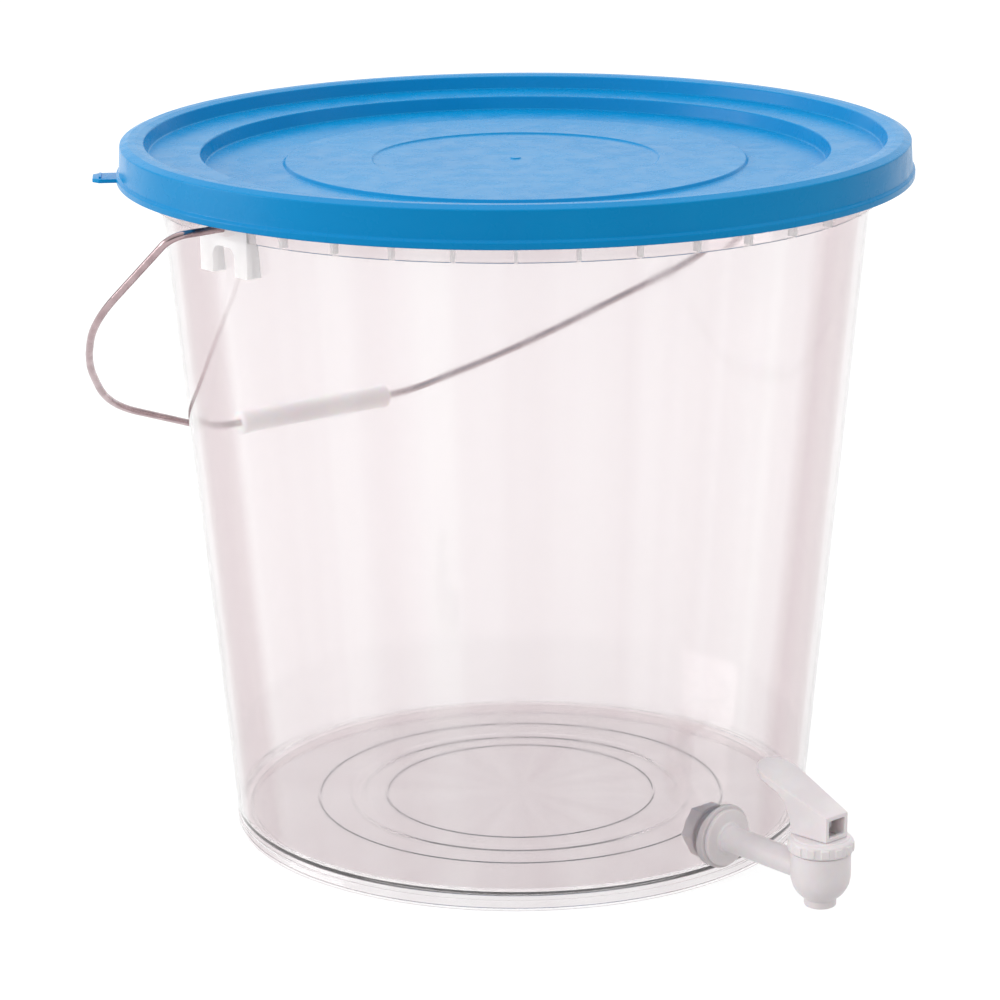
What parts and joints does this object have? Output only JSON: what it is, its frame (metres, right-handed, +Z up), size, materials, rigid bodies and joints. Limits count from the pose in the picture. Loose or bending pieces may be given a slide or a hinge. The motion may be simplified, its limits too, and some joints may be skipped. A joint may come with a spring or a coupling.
{
  "type": "fermenting bucket with lid, bail and tap",
  "caption": "Tapered round clear bucket with push-on stepped lid, wire bail with turning grip, and a press tap near the base.",
  "frame": {"origin": "centre of the foot ring, on the surface the bucket stands on", "axes": "+Z up; -Y towards the tap; +X and -X towards the two bail ears"},
  "size_m": [0.4088, 0.392, 0.3232],
  "materials": {
    "bucket_plastic": "clear with a faint warm tint, smooth, moulded",
    "lid_plastic": "sky blue, smooth, slightly glossy",
    "bail_steel": "drawn zinc-plated wire",
    "grip_plastic": "translucent white tube",
    "tap_plastic": "white, satin",
    "nut_plastic": "pale grey, satin",
    "gasket_rubber": "white silicone, matte",
    "seat_rubber": "translucent white silicone",
    "stem_plastic": "white, satin",
    "spring_steel": "stainless wire",
    "pin_steel": "stainless pin"
  },
  "bodies": {
    "bucket": {"bucket_shell": "bucket_plastic", "tap_body": "tap_plastic", "tap_gasket_outer": "gasket_rubber", "tap_gasket_inner": "gasket_rubber", "tap_nut": "nut_plastic", "tap_bonnet": "tap_plastic"},
    "lid": {"lid": "lid_plastic"},
    "bail": {"bail_wire": "bail_steel"},
    "grip": {"bail_grip": "grip_plastic"},
    "valve": {"tap_seat_cup": "seat_rubber", "tap_spring": "spring_steel"},
    "stem": {"tap_stem": "stem_plastic", "lever_pin": "pin_steel"},
    "lever": {"tap_lever": "tap_plastic"}
  },
  "joints": [
    {"name": "lid_lift", "type": "slide", "parent": "bucket", "child": "lid", "axis": [0, 0, 1], "range_m": [0, 0.06]},
    {"name": "bail_swing", "type": "hinge", "parent": "bucket", "child": "bail", "pos_m": [0, 0, 0.3015], "axis": [1, 0, 0], "range_deg": [0, 261]},
    {"name": "grip_spin", "type": "hinge", "parent": "bail", "child": "grip", "pos_m": [0.0016, 0.15824, 0.16491], "axis": [0.9989, 0.036, -0.0311], "continuous": true},
    {"name": "cup_lift", "type": "slide", "parent": "bucket", "child": "valve", "axis": [0, 0, 1], "range_m": [0, 0.00335], "deforming": ["tap_spring"]},
    {"name": "lever_swivel", "type": "hinge", "parent": "valve", "child": "stem", "pos_m": [0, -0.19745, 0.0405], "axis": [0, 0, 1], "continuous": true},
    {"name": "lever_press", "type": "hinge", "parent": "stem", "child": "lever", "pos_m": [0, -0.19745, 0.0465], "axis": [-1, 0, 0], "range_deg": [0, 20], "stiffness_Nm_per_rad": 0.07, "springref_deg": -22.92}
  ],
  "couplings": [
    {"joint": "lever_press", "follows": "cup_lift", "rad_per_m": 104.17}
  ]
}
